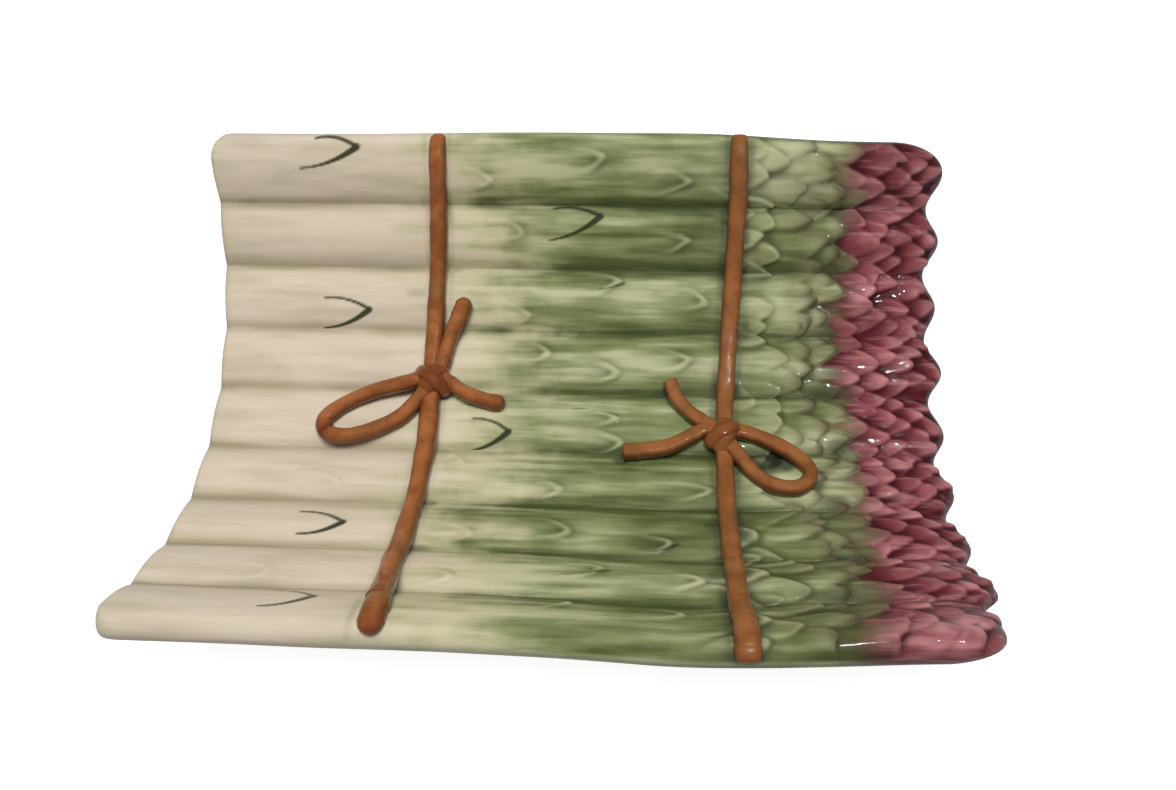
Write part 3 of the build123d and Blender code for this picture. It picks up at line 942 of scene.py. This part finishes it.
def roll_coil(node, knots, widths, heights, square, ends, seed, dark):
    # A coil rolled along knots, each a point and its up direction. Widths and heights are spaced out
    # along it, square is 2 for a round coil and more for a strap, ends say how far each end rounds
    # off, seed varies its thickness, and dark has creases: share of the length, reach, amount.
    knots = [tuple(spot) + tuple(up) for spot, up in knots]
    line, walked = smooth_line(knots, coil_rings + 1)
    spots = line[:, :3]
    ahead = np.gradient(spots, axis=0)
    ahead = ahead / np.linalg.norm(ahead, axis=1)[:, None]
    up = line[:, 3:]
    up = up - ahead * np.sum(up * ahead, axis=1)[:, None]
    up = up / np.linalg.norm(up, axis=1)[:, None]
    aside = np.cross(up, ahead)

    # Thickness along the coil, uneven as rolled by hand, and closed round at the free ends
    share = walked / walked[-1]
    width = np.interp(share, np.linspace(0, 1, len(widths)), widths) / 2
    height = np.interp(share, np.linspace(0, 1, len(heights)), heights) / 2
    draw = np.random.default_rng(seed)
    for count in (3, 7, 13):
        wave = np.sin(share * count * full_turn + draw.uniform(0, full_turn))
        wave = wave * 0.05 / math.sqrt(count)
        width = width * (1.0 + wave)
        height = height * (1.0 - 0.6 * wave)
    closing = np.ones_like(share)
    for distance, length in ((walked, ends[0]), (walked[-1] - walked, ends[1])):
        if length > 0:
            inside = np.clip(1.0 - distance / length, 0.0, 1.0)
            closing = closing * np.maximum(np.sqrt(1.0 - inside ** 2), 0.04)

    # Section round the coil
    turn = np.arange(coil_around) / coil_around * 2 * math.pi
    flat = 2.0 / square
    sideways = np.sign(np.cos(turn)) * np.abs(np.cos(turn)) ** flat
    upwards = np.sign(np.sin(turn)) * np.abs(np.sin(turn)) ** flat
    grid = (spots[:, None, :]
            + aside[:, None, :] * (width * closing)[:, None, None] * sideways[None, :, None]
            + up[:, None, :] * (height * closing)[:, None, None] * upwards[None, :, None])

    # Glaze: painted shade in the creases, pooled glaze with painted shade along the edges, and more
    # olive on the right tie
    edge = np.abs(sideways)[None, :] ** 3 * np.ones_like(share)[:, None]
    shade = np.zeros_like(edge)
    # Painted shade in the creases
    for place, reach, amount in dark:
        crease = amount * np.exp(-((share - place) / reach) ** 2)
        shade = np.maximum(shade, crease[:, None])
    olive = np.full_like(edge, right_olive if node.startswith("right") else 0.0)
    values = {"shade": shade, "edge": edge, "olive": olive}
    coil, _, _ = press_blank(coil_blank, f"clay_{node}", grid, values)
    coil.data.materials.append(tie_glaze)
    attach(coil, "root")
    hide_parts(node)


def rust_tie_glaze():
    # A rust-brown gloss glaze, streaked and specked, with painted shade along the edges and in the
    # creases
    glaze, tree = new_finish("rust_tie_glaze")
    _, streak, grain, cloud = brushed(tree, 120.0, 120.0)
    body = blend(ramp(streak, 0.35, 0.68), rust, deep_rust)
    body = blend(ramp(cloud, 0.45, 0.75, 0.0, 0.6), body, clouded_brown)
    body = blend(times(ramp(grain, 0.5, 0.7), 0.15), body, speck_rust)
    body = blend(times(layer(tree, "olive"), 0.8), body, olive_brown)
    body = blend(times(layer(tree, "edge"), 0.7), body, edge_shade_brown)
    body = blend(layer(tree, "shade"), body, crease_shade_brown)
    gloss(glaze, body, ramp(cloud, 0.3, 0.7, 0.16, 0.28), grain, 0.00006)
    return glaze


tie_glaze = rust_tie_glaze()
coil_blank = bar_blank(coil_around, 9, 15)
roll_coil(
    "left_back_strand",
    over_rim(-56.0, 1, ((0, -0.3), (20, -0.2), (40, 0.2), (62, 0.9)))
    + strand_run(
        ((-56.0, 51.0), (-56.4, 45.2), (-57.4, 25.7), (-57.8, 12.2), (-57.3, 6.0)), left_lift,
    ),
    widths=(7.0, 7.4, 7.2, 7.6, 7.4), heights=(5.6, 6.6, 6.8, 6.8), square=2.2,
    ends=(2.5, 0.0), seed=11, dark=((0.98, 0.03, 0.7),),
)
roll_coil(
    "left_front_strand",
    strand_run((
        (-57.2, 10.0), (-56.8, 1.6), (-56.4, -7.1), (-56.3, -22.4), (-56.6, -38.7), (-54.6, -52.0),
    ), left_lift),
    widths=(7.6, 8.6, 7.4, 7.6, 7.8, 8.2), heights=(6.8, 6.8), square=2.2,
    ends=(0.0, 1.2), seed=12, dark=((1.0, 0.012, 0.8),),
)
roll_coil(
    "left_front_end",
    laid(((-55.2, -49.0, 1.4),))
    + over_rim(-54.0, -1, ((76, 1.4), (56, 1.4), (36, 1.4), (14, 1.4))),
    widths=(8.0, 8.6, 8.8, 8.0), heights=(6.6, 6.8, 6.4), square=2.3,
    ends=(1.2, 4.0), seed=13, dark=((0.18, 0.05, 0.8), (1.0, 0.2, 0.6)),
)
roll_coil(
    "left_bow_loop",
    laid((
        (-56.5, 7.8, 3.0), (-61.0, 8.2, 2.6), (-67.0, 7.2, 2.2), (-81.7, 4.9, 2.0),
        (-93.4, 1.6, 2.0), (-99.4, -1.7, 2.0), (-96.6, -4.7, 2.0), (-87.9, -5.1, 2.0),
        (-77.5, -3.3, 2.0), (-68.1, -0.4, 2.0), (-61.6, 3.6, 2.6), (-57.5, 6.6, 3.0),
    )),
    widths=(6.6, 6.6, 6.8, 6.6, 6.6), heights=(6.2, 6.4, 6.4), square=2.0,
    ends=(0.0, 0.0), seed=14, dark=((0.52, 0.018, 0.85),),
)
roll_coil(
    "left_tail_back",
    laid((
        (-55.5, 8.6, 2.6), (-53.2, 12.0, 2.3), (-50.4, 17.6, 2.2),
        (-47.4, 21.6, 2.2), (-44.6, 25.6, 2.1),
    )),
    widths=(6.4, 7.0, 6.2, 7.4, 7.0), heights=(6.2, 6.4, 6.4), square=2.0,
    ends=(0.0, 3.4), seed=15, dark=((1.0, 0.05, 0.4),),
)
roll_coil(
    "left_tail_side",
    laid((
        (-56.0, 9.0, 2.8), (-51.0, 7.7, 2.4), (-42.4, 5.0, 2.1),
        (-33.8, 3.5, 2.0), (-26.0, 2.9, 2.0),
    )),
    widths=(6.2, 6.4, 6.6, 6.8), heights=(6.2, 6.4), square=2.0,
    ends=(0.0, 3.2), seed=16, dark=((1.0, 0.06, 0.75),),
)

knot_sink = -0.5
knot_steps = 9


def knot_turn(x, angle, lean, reach, top):
    # A turn of the knot: up from the crests on one side, over its top, and down on the other.
    # It leans from X towards the back by some degrees and reaches as far to both sides.
    lean = math.radians(lean)
    turn = []
    for step in np.linspace(-1.0, 1.0, knot_steps):
        along = reach * math.sin(step * math.pi / 2)
        lift = knot_sink + (top - knot_sink) * math.cos(step * math.pi / 2)
        place = angle + math.degrees(along * math.sin(lean) / crest_radius)
        turn.append((x + along * math.cos(lean), place, lift))
    return laid(turn)


roll_coil(
    "left_knot",
    knot_turn(-56.8, 7.6, 62.0, 6.6, 4.2),
    widths=(7.0, 9.5, 7.0), heights=(6.4, 7.4, 6.4), square=2.0,
    ends=(3.0, 3.0), seed=17, dark=((0.0, 0.12, 0.9), (1.0, 0.12, 0.9), (0.5, 0.5, 0.65)),
)
roll_coil(
    "left_knot_wrap",
    knot_turn(-56.6, 7.6, -38.0, 7.0, 6.4),
    widths=(6.6, 6.4, 6.6), heights=(5.4, 4.8, 5.4), square=2.0,
    ends=(2.5, 2.5), seed=18, dark=((0.0, 0.14, 0.9), (1.0, 0.14, 0.9), (0.5, 0.6, 0.6)),
)

# The tie near the tips: flatter straps of the same clay, pressed across the spears like the first.
# They are cut square at the free ends; the bow lies to the tips and the two tails to the butts.
right_lift = 0.9
roll_coil(
    "right_back_strand",
    over_rim(67.2, 1, ((0, -0.2), (20, -0.2), (40, 0.0), (62, 0.4)))
    + strand_run((
        (67.4, 51.0), (67.7, 46.1), (66.9, 30.6), (65.3, 16.4), (63.4, 2.3), (63.0, -4.0),
    ), right_lift),
    widths=(7.4, 7.6, 7.4, 7.2, 7.0), heights=(6.2, 6.2), square=3.4,
    ends=(2.0, 0.0), seed=21, dark=((0.98, 0.03, 0.6),),
)
roll_coil(
    "right_front_strand",
    strand_run(
        ((62.9, -1.0), (62.9, -9.7), (62.6, -22.9), (63.0, -37.0), (62.4, -51.5)), right_lift,
    ),
    widths=(7.0, 7.2, 7.4, 7.8), heights=(6.2, 6.2), square=3.4,
    ends=(0.0, 1.2), seed=22, dark=((1.0, 0.012, 0.7),),
)
roll_coil(
    "right_front_end",
    laid(((62.6, -50.0, 1.3),))
    + over_rim(63.0, -1, ((72, 1.0), (45, 1.0), (18, 1.0), (-6, 1.0))),
    widths=(8.0, 8.6, 8.8, 8.4), heights=(6.0, 6.2, 6.0), square=3.2,
    ends=(1.2, 2.6), seed=23, dark=((0.0, 0.05, 0.7), (1.0, 0.12, 0.6)),
)
roll_coil(
    "right_bow_loop",
    laid((
        (62.5, -3.6, 2.6), (67.0, -2.4, 2.6), (73.0, -2.8, 2.2), (83.2, -4.9, 1.9),
        (91.6, -7.9, 1.8), (95.6, -11.4, 1.8), (91.6, -14.6, 1.8), (83.2, -14.8, 1.8),
        (74.8, -12.4, 1.9), (68.6, -8.0, 2.2), (63.6, -4.4, 2.6),
    )),
    widths=(6.0, 6.2, 6.0, 6.2), heights=(5.6, 5.8), square=2.8,
    ends=(0.0, 0.0), seed=24, dark=((0.5, 0.03, 0.35),),
)
roll_coil(
    "right_tail_back",
    laid((
        (62.0, -2.4, 2.4), (56.0, -0.6, 2.2), (50.0, 1.4, 2.0), (44.4, 4.6, 1.9), (41.0, 8.8, 1.9),
    )),
    widths=(5.4, 6.0, 6.0, 6.2), heights=(5.4, 5.6), square=3.0,
    ends=(0.0, 1.0), seed=25, dark=((1.0, 0.03, 0.5),),
)
roll_coil(
    "right_tail_side",
    laid((
        (62.0, -2.8, 2.4), (55.8, -2.0, 2.2), (50.2, -3.4, 2.0),
        (40.9, -5.9, 1.9), (31.8, -6.9, 1.9), (22.4, -7.4, 1.9),
    )),
    widths=(5.4, 6.0, 6.2, 6.6), heights=(5.4, 5.6), square=3.0,
    ends=(0.0, 1.0), seed=26, dark=((1.0, 0.03, 0.4),),
)
roll_coil(
    "right_knot",
    knot_turn(63.0, -3.2, 80.0, 6.4, 4.0),
    widths=(7.0, 10.0, 8.0), heights=(6.0, 6.8, 6.0), square=2.4,
    ends=(2.6, 2.6), seed=27, dark=((0.0, 0.12, 0.8), (1.0, 0.12, 0.8), (0.5, 0.5, 0.4)),
)
roll_coil(
    "right_knot_wrap",
    knot_turn(62.8, -3.0, 34.0, 6.6, 5.9),
    widths=(6.6, 6.4, 6.6), heights=(5.0, 4.6, 5.0), square=2.4,
    ends=(2.5, 2.5), seed=28, dark=((0.0, 0.14, 0.8), (1.0, 0.14, 0.8), (0.5, 0.5, 0.4)),
)
bpy.data.objects.remove(coil_blank)

# Stage: a plain floor that the camera sees as white, a soft lamp overhead that the glaze doesn't
# mirror, three small lamps for its glints, and the camera at the photograph's viewing angle.
floor_grey = 0.45
floor_glow = 0.88
bpy.ops.object.select_all(action="DESELECT")
bpy.ops.mesh.primitive_plane_add(size=12.0, location=(0.0, 0.0, 0.0))
floor = bpy.context.object
floor.name = "floor"
floor_white, tree = new_finish("white_floor")
shader = tree.nodes["Principled BSDF"]
shader.inputs["Base Color"].default_value = (floor_grey, floor_grey, floor_grey, 1.0)
shader.inputs["Roughness"].default_value = 0.9
seen = tree.nodes.new("ShaderNodeLightPath")
glow = times(seen.outputs["Is Camera Ray"], floor_glow)
shader.inputs["Emission Color"].default_value = (1.0, 1.0, 1.0, 1.0)
tree.links.new(glow, shader.inputs["Emission Strength"])
floor.data.materials.append(floor_white)

world = bpy.data.worlds.new("studio")
bpy.context.scene.world = world
world.use_nodes = True
sky = world.node_tree.nodes["Background"]
sky.inputs["Color"].default_value = (1.0, 1.0, 1.0, 1.0)
sky.inputs["Strength"].default_value = 0.16


def lamp(name, size, power, spot, aim):
    # A round lamp at a spot, facing its aim
    data = bpy.data.lights.new(name, "AREA")
    data.shape = "DISK"
    data.size = size
    data.energy = power
    light = bpy.data.objects.new(name, data)
    bpy.context.collection.objects.link(light)
    light.location = spot
    back = np.array(spot) - np.array(aim)
    tilt = math.atan2(math.hypot(back[0], back[1]), back[2])
    light.rotation_euler = (tilt, 0.0, math.atan2(back[0], -back[1]))
    return light


overhead = lamp("overhead", 0.9, 19.5, (-0.05, 0.02, 1.5), (0.0, 0.0, 0.0))
overhead.visible_glossy = False
for number, spot in enumerate(((0.25, -0.04, 1.05), (0.33, 0.05, 1.0), (0.2, 0.1, 1.1)), 1):
    lamp(f"glint_{number}", 0.015, 0.3, spot, (0.05, 0.0, 0.02))

camera = bpy.data.objects.new("camera", bpy.data.cameras.new("camera"))
bpy.context.collection.objects.link(camera)
camera.location = (0.027, -0.1634, 0.3549)
camera.rotation_euler = (math.radians(27.30), math.radians(2.02), math.radians(2.39))
camera.data.sensor_width = 36.0
camera.data.lens = 28.21
camera.data.shift_y = 0.0028
camera.data.clip_start = 0.01
bpy.context.scene.camera = camera
